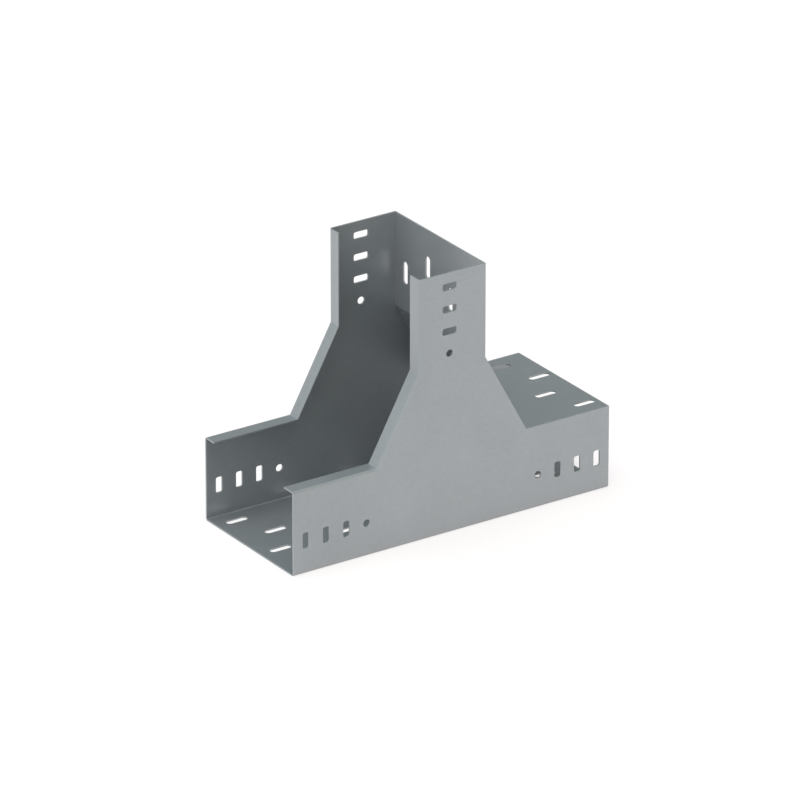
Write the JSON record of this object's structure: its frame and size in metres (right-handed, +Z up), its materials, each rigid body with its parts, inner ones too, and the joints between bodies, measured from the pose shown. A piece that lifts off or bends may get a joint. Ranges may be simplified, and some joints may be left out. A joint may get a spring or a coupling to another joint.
{
  "type": "perforated cable tray tee",
  "caption": "Vertical tee of a perforated cable tray: a straight channel run with a branch channel rising from it through sloped sides, lipped open edges and slotted walls.",
  "frame": {"origin": "middle of the underside, half way along the straight run and across its width", "axes": "+X along the run towards the closed leg, +Y across the width towards the rear side, +Z up the branch"},
  "size_m": [0.3564, 0.15, 0.265],
  "materials": {
    "galvanised_body": "pre-galvanised sheet, satin grey",
    "galvanised_plate": "pre-galvanised sheet, satin grey"
  },
  "bodies": {
    "root": {"tray_body": "galvanised_body", "closing_plate": "galvanised_plate"}
  },
  "joints": []
}
